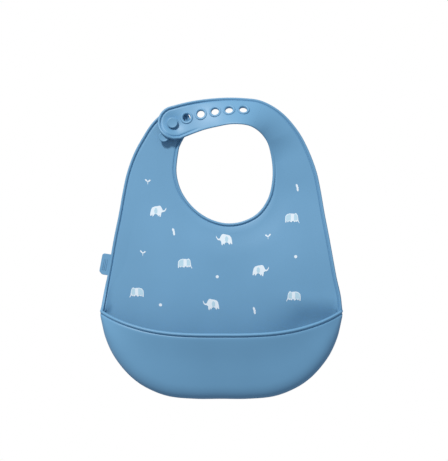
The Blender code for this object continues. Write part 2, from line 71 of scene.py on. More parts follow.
# Points along an outer edge: the chest's last row, the first plain row of a strap, and where pieces end.
SEAM = 8.0
ROOT = 9.0
TAB_END = 12.0
STRAP_MIDDLE_START = 11.7
STRAP_END_START = 14.5
STRAP_END = 18.0
# Points along the neck edge that face the seams and the pocket corners, and its lead over the outer edge.
NECK_AT_LEFT_SEAM = 4.0
NECK_AT_LEFT_CORNER = 6.6
NECK_AT_RIGHT_CORNER = 11.6
NECK_AT_RIGHT_SEAM = 14.0
NECK_LEAD = 6.0

# How finely the sheet and the turned pieces are divided.
PANEL_COLUMNS = 26
WALL_COLUMNS = 38
RIBBON_COLUMNS = 30
SIDE_ROWS = 64
POCKET_ROWS = 132
TAB_ROWS = 40
STRAP_STEP = 0.075
LINE_STEPS = 40
FOLD_STEPS = 24
CURL_STEPS = 8
FAN_RINGS = 12
RING_STEPS = 48
STUD_STEPS = 56

# Widest line of the pocket and its top edge, right half from the corner to the middle.
POCKET_HALF = [
    (116.0, -134.6), (114.1, -143.5), (109.8, -159.4), (101.3, -176.7), (87.1, -193.9),
    (71.1, -205.5), (50.3, -213.5), (25.0, -216.0), (0.0, -216.0),
]
LIP_HALF = [
    (114.6, -132.7, 9.5), (102.0, -138.3, 21.0), (88.0, -143.3, 28.0), (69.0, -148.2, 33.5),
    (48.0, -151.2, 36.4), (25.0, -152.4, 37.8), (0.0, -152.6, 38.0),
]

# Depth of the pocket's widest line at its corners, what it gains toward the middle, the roundings on both
# sides of that line, and how far the front wall is hollow.
CORNER_DEPTH = 8.0
DEPTH_GAIN = 15.5
ROUND_OUT = 10.5
ROUND_IN = 14.0
HOLLOW = 0.6
# A distance from the neck at which the bow has its full height.
FAR_FROM_NECK = 50.0

# Round ends: middle, radius, and the angles and heights at the neck side and at the outer side.
TAB_CENTRE = (-44.5, 48.0)
TAB_RADIUS = 14.8
TAB_ARC = (-35.0, 145.0)
TAB_HEIGHTS = (HALF, HALF)
LOBE_CENTRE = (-45.0, 47.7)
LOBE_RADIUS = 16.4
LOBE_ARC = (289.0, 104.0)
LOBE_HEIGHTS = (7.8, 4.2)
# How far the strap's end dips to the button it is on and rises over the other one, and the reach of both.
DIP = 3.2
DIP_REACH = 80.0
RISE = 4.8
RISE_REACH = 120.0

FORWARD = (0, -1, 0)
STUD_UPPER = (-47.1, 47.2)
STUD_LOWER = (-55.2, 34.0)
EYELETS = [(-47.1, 47.2), (-33.3, 52.3), (-19.7, 55.6), (-6.0, 57.7), (7.4, 58.9), (21.0, 59.3)]
# Radius of the hole under each ring, then the height and the lower front of the ring that is on a button.
PUNCH = 4.8
WORN_RING_HEIGHT = 4.9
WORN_RING_FRONT = 1.25
# Turned profiles of an eyelet ring and of a button: radius, distance along the axis.
RING = [
    (3.65, -0.8), (3.8, -1.15), (4.3, -1.25), (5.2, -1.2), (5.7, -0.9), (5.95, 0.7), (5.9, 1.5), (5.7, 1.85),
    (5.3, 2.0), (4.8, 1.95), (4.3, 1.8), (3.95, 1.5), (3.7, 1.1), (3.6, 0.2),
]
STUD = [
    (0.0, 0.0), (3.6, 0.0), (3.2, 0.5), (2.75, 1.4), (2.7, 4.9), (3.0, 5.2), (4.4, 5.3), (4.8, 5.5),
    (5.0, 5.9), (5.05, 6.6), (5.0, 7.7), (4.8, 8.05), (4.5, 8.25), (4.2, 8.3), (3.9, 8.2), (3.6, 8.15),
    (0.0, 8.15),
]
# name, middle, height of the foot
BUTTONS = [("button_upper", STUD_UPPER, 1.9), ("button_lower", STUD_LOWER, 1.2)]

# Prints as closed outlines about their own middle: x, z.
ELEPHANT_RAISED = [
    (-7.8, -4.2), (-6.6, -4.4), (-5.9, -2.9), (-5.2, -5.0), (-4.4, -4.2), (-3.6, -3.0), (-2.0, -2.6),
    (-0.6, -3.4), (0.0, -4.9), (0.6, -4.2), (1.2, -3.5), (1.6, -5.4), (2.4, -5.3), (2.9, -3.4), (3.1, -1.6),
    (4.2, -0.7), (6.0, -0.5), (7.2, 0.6), (7.9, 2.4), (7.8, 3.9), (7.2, 2.6), (6.3, 1.1), (5.0, 0.8),
    (4.2, 1.6), (3.6, 3.0), (2.6, 4.8), (1.2, 5.5), (-0.8, 5.0), (-3.4, 4.6), (-5.4, 3.8), (-6.6, 2.2),
    (-7.3, -0.6),
]
ELEPHANT_LOWERED = [
    (-6.9, -4.6), (-6.5, -4.9), (-5.6, -3.4), (-4.9, -2.6), (-4.3, -3.4), (-3.6, -3.6), (-3.1, -2.6),
    (-2.6, -3.7), (-1.8, -3.8), (-1.2, -2.8), (0.2, -3.0), (0.7, -3.9), (1.4, -3.9), (2.6, -2.9),
    (3.8, -3.1), (4.3, -4.0), (4.9, -3.0), (5.6, -3.1), (6.0, -4.3), (6.8, -4.2), (6.9, -0.6), (6.6, 2.0),
    (5.0, 3.8), (2.6, 4.5), (-0.4, 4.4), (-2.0, 4.1), (-3.0, 4.9), (-4.2, 4.3), (-5.2, 2.4), (-5.6, -0.2),
    (-5.9, -2.4),
]
TINT_FRONT = [
    (-4.8, -1.8), (-3.2, -2.1), (-1.5, -2.2), (-1.6, 3.6), (-2.9, 4.0), (-4.0, 3.6), (-4.7, 2.0), (-5.0, 0.0),
]
TINT_REAR = [
    (1.6, -2.4), (4.6, -2.4), (6.1, -3.3), (6.3, -0.6), (6.0, 1.8), (4.7, 3.2), (2.6, 3.9), (1.5, 3.9),
]
# The tint of a raised elephant is an oval: middle x, middle z, half width, half height.
TINT_OVAL = (-2.2, 0.4, 1.6, 2.9)
SPROUT = [
    (-0.3, -2.7), (0.1, -2.7), (0.2, -0.5), (1.3, -0.1), (2.4, 0.6), (2.8, 1.7), (1.6, 1.8), (0.6, 1.1),
    (0.0, 0.3), (-0.8, 1.3), (-1.8, 2.4), (-2.8, 2.6), (-2.6, 1.4), (-1.6, 0.3), (-0.4, -0.4),
]
FEATHER = [
    (0.2, -3.5), (0.9, -3.5), (1.5, -2.3), (1.1, -0.8), (1.4, -0.2), (0.6, 1.4), (0.9, 1.7), (0.0, 3.2),
    (-1.2, 3.5), (-1.5, 2.0), (-0.6, -0.2), (-0.6, -2.0),
]
# name, outline, middle x, middle z, 1 as drawn or -1 mirrored
PRINTS = [
    ("elephant_1", ELEPHANT_RAISED, -61.1, -37.6, 1),
    ("elephant_2", ELEPHANT_RAISED, 2.8, -64.9, -1),
    ("elephant_3", ELEPHANT_RAISED, 37.7, -94.7, 1),
    ("elephant_4", ELEPHANT_RAISED, -9.8, -127.4, -1),
    ("elephant_5", ELEPHANT_LOWERED, -35.0, -87.9, -1),
    ("elephant_6", ELEPHANT_LOWERED, 68.4, -44.2, -1),
    ("elephant_7", ELEPHANT_LOWERED, -81.8, -115.9, 1),
    ("elephant_8", ELEPHANT_LOWERED, 69.2, -119.3, 1),
    ("sprout_1", SPROUT, -71.0, -8.9, 1),
    ("sprout_2", SPROUT, -75.7, -77.8, 1),
    ("sprout_3", SPROUT, 44.8, -61.8, -1),
    ("feather_1", FEATHER, -46.1, -57.4, 1),
    ("feather_2", FEATHER, 73.2, -14.7, 1),
    ("feather_3", FEATHER, 31.7, -133.2, 1),
]
DOTS = [("dot_1", -4.0, -100.6), ("dot_2", -58.7, -127.8), ("dot_3", 71.4, -81.2)]
DOT_RADIUS = 1.5
# Size of the cells that let a print follow the panel, twice the area below which one is left out, height
# of ink and tint over the panel, and depth into it.
CELL = 1.5
LEAST_AREA = 0.0001
INK_LIFT = 0.08
TINT_LIFT = 0.13
INK_DEPTH = 0.06

# Tag: outline as x, z, then its edge and that of a rib as (inset, height) steps from back to front.
TAG = [
    (-106.0, -79.3), (-113.0, -78.2), (-114.4, -78.7), (-115.1, -79.8), (-117.9, -94.8), (-117.5, -96.0),
    (-115.8, -98.1), (-114.4, -98.7), (-109.2, -99.4),
]
TAG_EDGE = [(0.45, -0.72), (0.12, -0.6), (0.0, -0.3), (0.0, 0.3), (0.12, 0.6), (0.45, 0.72)]
RIB_EDGE = [(0.0, 0.5), (0.0, 0.95), (0.12, 1.12), (0.28, 1.2)]
TAG_MIDDLE = (-112.7, -88.8)
RIB_SHIFTS = (-1.6, 0.0, 1.6)
RIB_REACH = 5.2
RIB_RADIUS = 0.42
RIB_STEPS = 24

# Section of an edge: distance in from it, front of a raised bead with its groove, front of a plain edge.
SECTION = [
    (0.0, 0.0, 0.0), (0.08, 0.75, 0.45), (0.3, 1.35, 0.75), (0.7, 1.75, 0.93), (1.2, 1.9, 1.0),
    (1.7, 1.76, 1.0), (2.1, 1.42, 1.0), (2.35, 1.05, 1.0), (2.6, 0.3, 1.0), (2.95, -0.1, 1.0),
    (3.3, 0.3, 1.0), (3.65, 0.82, 1.0), (4.2, 1.0, 1.0),
]

# Colours of the moulding, of the ink, of its tint and of the floor.
SILICONE = (0.156, 0.350, 0.542)
WHITE = (0.80, 0.87, 0.92)
PALE = (0.50, 0.70, 0.80)
FLOOR_COLOUR = (0.95, 0.90, 0.85, 1)

# From here on in metres, apart from the lens: where the strap bends, then floor, light and camera.
FLOOR_RADIUS = 0.9
FLOOR_DROP = 0.45
AMBIENT_COLOUR = (0.80, 0.95, 1.12, 1)
AMBIENT_ABOVE = 0.46
AMBIENT_BELOW = 0.34
LIGHT_TARGET = (0.0, 0.0, -0.07)
LIGHT_DISTANCE = 2.5
TOWARD_KEY = (-0.32, -0.70, 0.64)
KEY_SIZE = 0.42
KEY_ENERGY = 52.5
KEY_COLOUR = (1.0, 0.97, 0.93)
TOWARD_BACK = (0.15, 0.92, 0.36)
BACK_SIZE = 1.2
BACK_ENERGY = 16.0
CAMERA_PLACE = (0.0025, -1.2, -0.0561)
LENS = 96.9
SENSOR_WIDTH = 36.0


def lerp(a, b, t):
    return tuple(p + (q - p) * t for p, q in zip(a, b))


def smooth(low, high, value):
    t = min(1.0, max(0.0, (value - low) / (high - low)))
    return t * t * (3 - 2 * t)


def spline(points, t):
    """Catmull-Rom curve through the points. It runs from 0 at the first to len(points) - 1 at the last."""
    last = len(points) - 1
    i = max(0, min(int(t), last - 1))
    f = t - i
    p1 = points[i]
    p2 = points[i + 1]
    p0 = points[i - 1] if i > 0 else tuple(2 * a - b for a, b in zip(p1, p2))
    p3 = points[i + 2] if i + 2 <= last else tuple(2 * b - a for a, b in zip(p1, p2))
    return tuple(
        0.5 * (2 * b + (c - a) * f + (2 * a - 5 * b + 4 * c - d) * f * f + (3 * b - a - 3 * c + d) * f ** 3)
        for a, b, c, d in zip(p0, p1, p2, p3)
    )


def unit(a, b):
    """Direction from a to b."""
    length = math.dist(a, b)
    return tuple((q - p) / length for p, q in zip(a, b))


def direction(points, t):
    """Direction of travel along a curve."""
    last = len(points) - 1
    return unit(spline(points, max(0.0, t - 0.02)), spline(points, min(last, t + 0.02)))


def face_of(a, b, c, d):
    """Face of the given corners without repeats, or nothing if fewer than three are left."""
    face = []
    for corner in (a, b, c, d):
        if corner not in face:
            face.append(corner)
    return [tuple(face)] if len(face) > 2 else []


def place(x, z, h):
    return Vector((x, -h, z))


class Line:
    """A run of points measured by its own length."""

    def __init__(self, points):
        self.points = points
        self.lengths = [0.0]
        for a, b in zip(points, points[1:]):
            self.lengths.append(self.lengths[-1] + math.dist(a, b))
        self.length = self.lengths[-1]

    def at(self, distance):
        wanted = min(self.length, max(0.0, distance))
        low = 0
        high = len(self.lengths) - 1
        while high - low > 1:
            middle = (low + high) // 2
            if self.lengths[middle] <= wanted:
                low = middle
            else:
                high = middle
        span = self.lengths[high] - self.lengths[low]
        f = (wanted - self.lengths[low]) / span if span > 0 else 0.0
        return lerp(self.points[low], self.points[high], f)


class Sheet:
    """An open surface whose points each carry a front and a back offset, closed into a solid by solid()."""

    def __init__(self):
        self.points = []
        self.offsets = []
        self.faces = []
        self.found = {}

    def point(self, p, front, back):
        """Number of the point at a place; points at the same place are one."""
        key = tuple(round(c, 3) for c in p)
        if key not in self.found:
            self.found[key] = len(self.points)
            self.points.append(place(*p))
            self.offsets.append((front, back))
        return self.found[key]

    def grid(self, rows):
        numbers = [[self.point(*item) for item in row] for row in rows]
        for a, b in zip(numbers, numbers[1:]):
            for i in range(len(a) - 1):
                self.faces += face_of(a[i], a[i + 1], b[i + 1], b[i])

    def punch(self, centre, axis, radius):
        """Drop the faces inside a round hole along an axis."""
        kept = []
        for face in self.faces:
            middle = sum((self.points[v] for v in face), Vector()) / len(face) - centre
            if (middle - axis * middle.dot(axis)).length > radius:
                kept.append(face)
        self.faces = kept

    def solid(self):
        """Vertices, the faces of the front and the back, and flat caps along every open edge."""
        normals = [Vector() for _ in self.points]
        edges = set()
        for face in self.faces:
            normal = Vector()
            for i, v in enumerate(face):
                after = face[(i + 1) % len(face)]
                normal += self.points[v].cross(self.points[after])
                edges.add((v, after))
            for v in face:
                normals[v] += normal
        used = sorted({v for face in self.faces for v in face})
        vertices = []
        front = {}
        back = {}
        for v in used:
            rise, fall = self.offsets[v]
            n = normals[v].normalized()
            front[v] = len(vertices)
            vertices.append(self.points[v] + n * rise)
            back[v] = front[v]
            if rise + fall > 0:
                back[v] = len(vertices)
                vertices.append(self.points[v] - n * fall)
        faces = [tuple(front[v] for v in face) for face in self.faces]
        faces += [tuple(back[v] for v in reversed(face)) for face in self.faces]
        caps = []
        for a, b in sorted(edges):
            if (b, a) in edges:
                continue
            for corners in face_of(front[b], front[a], back[a], back[b]):
                start = len(vertices)
                vertices += [vertices[v].copy() for v in corners]
                caps.append(tuple(range(start, start + len(corners))))
        return vertices, faces, caps


def mesh_object(name, vertices, faces, material, caps=()):
    """A mesh whose faces are smooth and whose caps are flat."""
    mesh = bpy.data.meshes.new(name)
    mesh.from_pydata([v * MM for v in vertices], [], list(faces) + list(caps))
    for polygon in mesh.polygons:
        polygon.use_smooth = polygon.index < len(faces)
    mesh.update()
    obj = bpy.data.objects.new(name, mesh)
    bpy.context.scene.collection.objects.link(obj)
    mesh.materials.append(material)
    return obj


def solid_object(name, sheet, material):
    vertices, faces, caps = sheet.solid()
    return mesh_object(name, vertices, faces, material, caps)


# ---------------------------------------------------------------- rows of the sheet
def neck_bead(q):
    """How far the neck edge is raised: fully round the throat and at the round end, not along the strap."""
    return 1.0 - smooth(12.3, 14.6, q) + smooth(22.2, 24.0, q)


def sample_row(line, inner, start_slant, end_slant, amounts, flat_columns, wall_columns):
    """Columns of one row: neck edge section, flat part up to `inner`, wall, outer edge section.

    The amounts say how much of a bead the neck edge has, and the front and the back of the outer edge, and
    how wide the outer edge's section is.
    """
    neck_amount, front_amount, back_amount, scale = amounts
    row = []
    for d, raised, plain in SECTION:
        row.append((line.at(d / start_slant), plain + (raised - plain) * neck_amount, plain))
    low = SECTION[-1][0] / start_slant
    high = line.length - SECTION[-1][0] * scale / end_slant
    for i in range(1, flat_columns):
        row.append((line.at(low + (inner - low) * i / flat_columns), HALF, HALF))
    for i in range(wall_columns):
        row.append((line.at(inner + (high - inner) * i / wall_columns), HALF, HALF))
    for d, raised, plain in reversed(SECTION):
        at = line.at(line.length - d * scale / end_slant)
        bead = raised - plain
        row.append((at, plain + bead * front_amount, plain + bead * back_amount))
    return row


def slant(a, b, along):
    """Sine of the angle between a row's end, from a to b, and the edge it meets."""
    dot = sum(p * q for p, q in zip(unit(a, b), along))
    return max(0.45, math.sqrt(max(0.0, 1 - dot * dot)))


def bow(x, z, from_neck):
    """The panel's forward bow, strongest at the right, where it falls away steeply into the pocket."""
    right = smooth(20.0, 85.0, x)
    high = -112.0 - 9.0 * right
    low = -216.0 + 67.0 * right
    across = smooth(-112.0, -40.0, x) * (0.37 + 0.45 * smooth(5.0, 78.0, x))
    return BOW * across * smooth(0.0, 30.0, from_neck) * smooth(-8.0, -106.0, z) * smooth(low, high, z)


def fold_curl(angle, corner):
    """Rise of the wall against its angle: a quarter round, or nearly straight at a pocket corner."""
    curl = 1 - math.cos(angle)
    out = math.sin(angle)
    start = 0.35
    straight = out * out / (out + start) * (1 + start)
    return curl + (straight - curl) * 0.95 * corner


def panel_line(neck, crease, wall):
    """Dense line from the neck edge over the panel to the crease and on along the wall."""
    points = []
    width = math.dist(neck[:2], crease[:2])
    for i in range(LINE_STEPS):
        t = i / LINE_STEPS
        x, z, h = lerp(neck, crease, t)
        h = HALF + (neck[2] - HALF) * (1 - t) ** 3
        points.append((x, z, h + bow(x, z, width * t)))
    flat = Line(points + [crease]).length
    return Line(points + wall), flat


def side_row(edge, k, q):
    """Row of the chest's side at point k of an outer edge and point q of the neck edge.

    The fold begins square to the edge, but level with it near the pocket and on the row itself at the seam.
    It is narrowest just above the pocket's corner. At the corner the bead turns from the front of the edge
    to the pocket's lip, where most of it is on the outside.
    """
    rim = spline(edge, k)
    along = direction(edge, k)
    neck = spline(NECK_EDGE, q)
    sign = -1 if rim[0] < 0 else 1
    corner = 1 - smooth(0.0, 2.2, k)
    reach = CORNER_CREASE - 3.5 * smooth(0.2, 1.2, k) + 8.5 * smooth(1.2, 3.4, k)
    square = (rim[0] - along[1] * reach * sign, rim[1] + along[0] * reach * sign)
    level = (rim[0] - sign * reach, rim[1])
    straight = lerp(rim[:2], neck[:2], (CREASE + 0.5) / math.dist(neck[:2], rim[:2]))
    plan = lerp(square, level, smooth(-90.0, -118.0, rim[1]))
    plan = lerp(plan, straight, smooth(SEAM - 2.0, SEAM, k))
    crease = (plan[0], plan[1], HALF + bow(plan[0], plan[1], math.dist(neck[:2], plan)))
    wall = []
    for i in range(FOLD_STEPS + 1):
        angle = math.pi / 2 * i / FOLD_STEPS
        x, z = lerp(crease[:2], rim[:2], math.sin(angle))
        wall.append((x, z, crease[2] + (rim[2] - crease[2]) * fold_curl(angle, corner)))
    line, flat = panel_line(neck, crease, wall)
    turn = 1 - smooth(-0.1, 0.3, k)
    amounts = (neck_bead(q), 1 - 0.6 * turn, turn, 1 + 0.15 * turn)
    start = slant(line.points[0], line.points[1], direction(NECK_EDGE, q))
    end = slant(wall[-3], wall[-1], along)
    return sample_row(line, flat, start, end, amounts, PANEL_COLUMNS, WALL_COLUMNS)


def mirror(points):
    """The left half of a curve, made from its right half, and then the right half."""
    return [(-p[0],) + tuple(p[1:]) for p in points] + list(reversed(points[:-1]))


def fine(points):
    """The smooth curve through the points as a line of short steps."""
    steps = 400
    last = len(points) - 1
    return Line([spline(points, last * i / steps) for i in range(steps + 1)])


OUTLINE = fine(mirror(POCKET_HALF))
LIP = fine(mirror(LIP_HALF))


def wall_points(u):
    """Middle of the pocket's wall from the crease, round the side or bottom, up to the lip."""
    x, z = OUTLINE.at(OUTLINE.length * u)
    along = unit(OUTLINE.at(OUTLINE.length * (u - 0.01)), OUTLINE.at(OUTLINE.length * (u + 0.01)))
    square = (-along[1], along[0])
    level = (math.copysign(1.0, -x), 0.0)
    from_corner = min(u, 1 - u)
    inward_x, inward_z = lerp(level, square, smooth(0.0, 0.07, from_corner))
    depth = CORNER_DEPTH + DEPTH_GAIN * math.sin(math.pi / 2 * smooth(-0.04, 0.24, from_corner) ** 0.8)
    corner = 1 - smooth(0.0, 0.12, from_corner)
    crease = CREASE + (CORNER_CREASE - CREASE) * corner
    start = HALF + bow(x + inward_x * crease, z + inward_z * crease, FAR_FROM_NECK)
    round_out = min(ROUND_OUT, 0.46 * depth)
    back_round = min(CREASE, depth - round_out)
    path = []
    for i in range(CURL_STEPS + 1):
        angle = math.pi / 2 * i / CURL_STEPS
        inset = crease * (1 - math.sin(angle))
        h = start + (back_round - start) * fold_curl(angle, corner)
        path.append((x + inward_x * inset, z + inward_z * inset, h))
    lip = LIP.at(LIP.length * u)
    knee = (x, z, depth)
    reach = math.dist(knee, lip)
    base = (x, z, depth - round_out)
    end = lerp(knee, lip, min(0.45 * reach, ROUND_IN) / reach)
    for i in range(CURL_STEPS + 1):
        t = i / CURL_STEPS
        path.append(lerp(lerp(base, knee, t), lerp(knee, end, t), t))
    steps = 6
    for i in range(1, steps + 1):
        t = i / steps
        hollow = HOLLOW * math.sin(math.pi * t) ** 2 * smooth(0.05, 0.3, from_corner)
        px, pz, h = lerp(end, lip, t)
        path.append((px, pz, h - hollow))
    return path


def pocket_row(u):
    """Row of the chest's lower part, down the panel and up the pocket's wall to the lip."""
    path = wall_points(u)
    q = NECK_AT_LEFT_CORNER + (NECK_AT_RIGHT_CORNER - NECK_AT_LEFT_CORNER) * u
    steps = 115
    wall = [spline(path, (len(path) - 1) * i / steps) for i in range(steps + 1)]
    line, flat = panel_line(spline(NECK_EDGE, q), path[0], wall)
    along = unit(LIP.at(LIP.length * (u - 0.005)), LIP.at(LIP.length * (u + 0.005)))
    start = slant(line.points[0], line.points[1], direction(NECK_EDGE, q))
    end = slant(line.at(line.length - 2.0), line.points[-1], along)
    amounts = (neck_bead(q), 0.4, 1.0, 1.15)
    return sample_row(line, flat, start, end, amounts, PANEL_COLUMNS, WALL_COLUMNS)


def chest_rows():
    """Rows from the left seam down the side, round the pocket and up to the right seam."""
    rows = []
    for i in range(SIDE_ROWS + 1):
        t = i / SIDE_ROWS
        q = NECK_AT_LEFT_SEAM + (NECK_AT_LEFT_CORNER - NECK_AT_LEFT_SEAM) * t
        rows.append(side_row(LEFT_EDGE, SEAM * (1 - t), q))
    for i in range(1, POCKET_ROWS):
        rows.append(pocket_row(i / POCKET_ROWS))
    for i in range(SIDE_ROWS + 1):
        t = i / SIDE_ROWS
        q = NECK_AT_RIGHT_CORNER + (NECK_AT_RIGHT_SEAM - NECK_AT_RIGHT_CORNER) * t
        rows.append(side_row(RIGHT_EDGE, SEAM * t, q))
    return rows


def lobe_height(x, z, h):
    """The strap's end dips to the button it is on and rises over the other one."""
    near = (x - STUD_UPPER[0]) ** 2 + (z - STUD_UPPER[1]) ** 2
    over = (x - STUD_LOWER[0]) ** 2 + (z - STUD_LOWER[1]) ** 2
    return h - DIP * math.exp(-near / DIP_REACH) + RISE * math.exp(-over / RISE_REACH)


def ribbon_line(edge, k, q):
    """Line across a shoulder, tab or strap, from the neck edge to the outer edge."""
    rim = spline(edge, k)
    neck = spline(NECK_EDGE, q)
    width = math.dist(neck[:2], rim[:2])
    reach = CREASE + 0.5
    spread = smooth(SEAM, ROOT + 0.4, k)
    points = []
    for i in range(LINE_STEPS + 1):
        t = i / LINE_STEPS
        x, z, _ = lerp(neck, rim, t)
        hollow = max(0.0, (width * (1 - t) - reach) / (width - reach)) ** 3
        h = rim[2] + (neck[2] - rim[2]) * (hollow + ((1 - t) - hollow) * spread)
        if edge is RIGHT_EDGE and k > ROOT:
            h = lobe_height(x, z, h)
        points.append((x, z, h))
    return Line(points)


def ribbon_row(edge, k, q):
    """Row across a shoulder, tab or strap."""
    line = ribbon_line(edge, k, q)
    start = slant(line.points[0], line.points[2], direction(NECK_EDGE, q))
    end = slant(line.points[-3], line.points[-1], direction(edge, k))
    inner = line.length - SECTION[-1][0] / end
    return sample_row(line, inner, start, end, (neck_bead(q), 1.0, 0.0, 1.0), RIBBON_COLUMNS, 0)


def round_end(sheet, row, centre, radius, arc, heights, shape):
    """Fan from a row to a round end. Its arc and heights run from the neck side to the outer side."""
    first, last = arc
    inner = row[len(SECTION) - 1:len(row) - len(SECTION) + 1]
    count = len(inner)
    targets = []
    for j in range(count):
        turn = math.radians(first + (last - first) * j / (count - 1))
        h = heights[0] + (heights[1] - heights[0]) * j / (count - 1)
        targets.append((turn, h))
    middle = (heights[0] + heights[1]) / 2
    grid = []
    flat_row = [item[0] for item in inner]
    reach = radius - SECTION[-1][0]
    for ring in range(FAN_RINGS + 1):
        lean = ring / FAN_RINGS
        points = []
        for j, (turn, h) in enumerate(targets):
            if ring == 0 or j in (0, count - 1):
                points.append((flat_row[j], HALF, HALF))
                continue
            tip = (centre[0] + reach * math.cos(turn), centre[1] + reach * math.sin(turn))
            start = flat_row[j]
            x, z = lerp(start[:2], tip, lean)
            across = math.dist(start[:2], row[0][0][:2]) / math.dist(row[-1][0][:2], row[0][0][:2])
            base = heights[0] + (heights[1] - heights[0]) * across
            rim = middle + (h - middle) * reach / radius
            points.append(((x, z, shape(x, z, base + (rim - base) * lean)), HALF, HALF))
        grid.append(points)
    # The ends of the fan stay on the last row, so its outermost ring shares both end points with it.
    grid[-1][0] = inner[0]
    grid[-1][-1] = inner[-1]
    band = [grid[-1]]
    for number in reversed(range(len(SECTION) - 1)):
        d, raised, plain = SECTION[number]
        reach = radius - d
        points = []
        for j, (turn, h) in enumerate(targets):
            if j == 0:
                points.append(row[number])
                continue
            if j == count - 1:
                points.append(row[len(row) - 1 - number])
                continue
            x = centre[0] + reach * math.cos(turn)
            z = centre[1] + reach * math.sin(turn)
            rim = middle + (h - middle) * reach / radius
            points.append(((x, z, shape(x, z, rim)), raised, plain))
        band.append(points)
    sheet.grid(grid)
    sheet.grid(band)


def flat_shape(x, z, h):
    return h


def strap_mid(k, across):
    """Middle surface of the strap, from its neck edge at 0 across to its outer edge at 1."""
    x, z, h = lerp(spline(NECK_EDGE, k + NECK_LEAD), spline(RIGHT_EDGE, k), across)
    return x, z, lobe_height(x, z, h)


def strap_surface(x, z):
    """Height and front-facing direction of the strap's middle surface at x, z.

    The place is found along a line a little outward of the strap's middle, where the eyelets are.
    """
    per_point = 20
    line = 0.55
    steps = range(round((STRAP_END - ROOT) * per_point) + 1)
    k = ROOT + min(steps, key=lambda i: abs(strap_mid(ROOT + i / per_point, line)[0] - x)) / per_point
    ahead = place(*strap_mid(min(STRAP_END, k + 0.1), line))
    behind = place(*strap_mid(max(ROOT, k - 0.1), line))
    outer = place(*strap_mid(k, 0.75))
    inner = place(*strap_mid(k, 0.35))
    facing = (behind - ahead).cross(inner - outer).normalized()
    if facing.y > 0:
        facing = -facing
    near = min((strap_mid(k, i / LINE_STEPS) for i in range(LINE_STEPS + 1)), key=lambda p: abs(p[1] - z))
    return near[2], facing


def turned(centre, axis, profile, steps):
    """A turned solid. Its profile, (radius, distance along the axis), closes or ends on the axis."""
    side = axis.orthogonal().normalized()
    other = axis.cross(side).normalized()
    vertices = []
    rings = []
    for radius, along in profile:
        if radius == 0:
            rings.append([len(vertices)] * steps)
            vertices.append(centre + axis * along)
            continue
        rings.append(list(range(len(vertices), len(vertices) + steps)))
        for k in range(steps):
            angle = 2 * math.pi * k / steps
            out = side * math.cos(angle) + other * math.sin(angle)
            vertices.append(centre + axis * along + out * radius)
    closed = profile[0][0] > 0
    if closed:
        rings.append(rings[0])
    faces = []
    for a, b in zip(rings, rings[1:]):
        for k in range(steps):
            n = (k + 1) % steps
            faces += face_of(a[k], a[n], b[n], b[k])
    volume = 0.0
    for face in faces:
        corners = [vertices[v] for v in face]
        for i in range(1, len(corners) - 1):
            volume += corners[0].dot(corners[i].cross(corners[i + 1]))
    if volume < 0:
        faces = [tuple(reversed(face)) for face in faces]
    return vertices, faces


# ---------------------------------------------------------------- materials
def silicone(name, colour, roughness=0.47):
    """Matt moulded silicone: faint mottling, fine grain and a soft sheen."""
    material = bpy.data.materials.new(name)
    material.use_nodes = True
    nodes = material.node_tree.nodes
    links = material.node_tree.links
    shader = nodes["Principled BSDF"]
    where = nodes.new("ShaderNodeTexCoord")
    broad = nodes.new("ShaderNodeTexNoise")
    broad.inputs["Scale"].default_value = 14.0
    broad.inputs["Detail"].default_value = 3.0
    ramp = nodes.new("ShaderNodeValToRGB")
    ramp.color_ramp.elements[0].position = 0.3
    ramp.color_ramp.elements[0].color = (*[c * 0.965 for c in colour], 1)
    ramp.color_ramp.elements[1].position = 0.7
    ramp.color_ramp.elements[1].color = (*[min(1.0, c * 1.03) for c in colour], 1)
    grain = nodes.new("ShaderNodeTexNoise")
    grain.inputs["Scale"].default_value = 900.0
    grain.inputs["Detail"].default_value = 4.0
    rough = nodes.new("ShaderNodeMapRange")
    rough.inputs["To Min"].default_value = roughness - 0.07
    rough.inputs["To Max"].default_value = roughness + 0.08
    bump = nodes.new("ShaderNodeBump")
    bump.inputs["Strength"].default_value = 0.12
    bump.inputs["Distance"].default_value = 0.0002
    links.new(where.outputs["Object"], broad.inputs["Vector"])
    links.new(where.outputs["Object"], grain.inputs["Vector"])
    links.new(broad.outputs["Fac"], ramp.inputs["Fac"])
    links.new(ramp.outputs["Color"], shader.inputs["Base Color"])
    links.new(broad.outputs["Fac"], rough.inputs["Value"])
    links.new(rough.outputs["Result"], shader.inputs["Roughness"])
    links.new(grain.outputs["Fac"], bump.inputs["Height"])
    links.new(bump.outputs["Normal"], shader.inputs["Normal"])
    shader.inputs["IOR"].default_value = 1.48
    shader.inputs["Sheen Weight"].default_value = 0.12
    shader.inputs["Sheen Roughness"].default_value = 0.45
    shader.inputs["Sheen Tint"].default_value = (0.80, 0.82, 1.0, 1)
    return material


# ---------------------------------------------------------------- shells, rings and buttons
def tab_sheet():
    """The shoulder tab under the strap, from its round end to the seam."""
    tab = Sheet()
    rows = []
    for i in range(TAB_ROWS + 1):
        k = TAB_END - (TAB_END - SEAM) * i / TAB_ROWS
        rows.append(ribbon_row(LEFT_EDGE, k, NECK_AT_LEFT_SEAM * i / TAB_ROWS))
    tab.grid(rows)
    # A fan is made facing the back here, so its faces are turned round as they are added.
    fan = Sheet()
    round_end(fan, rows[0], TAB_CENTRE, TAB_RADIUS, TAB_ARC, TAB_HEIGHTS, flat_shape)
    for face in fan.faces:
        numbers = []
        for v in reversed(face):
            p = fan.points[v]
            numbers.append(tab.point((p.x, p.z, -p.y), *fan.offsets[v]))
        tab.faces.append(tuple(numbers))
    return tab


def ring_place(number):
    """Centre and axis of an eyelet. The one on a button lies level."""
    x, z = EYELETS[number]
    h, facing = strap_surface(x, z)
    if number == 0:
        facing = Vector(FORWARD)
    return x, z, h, facing


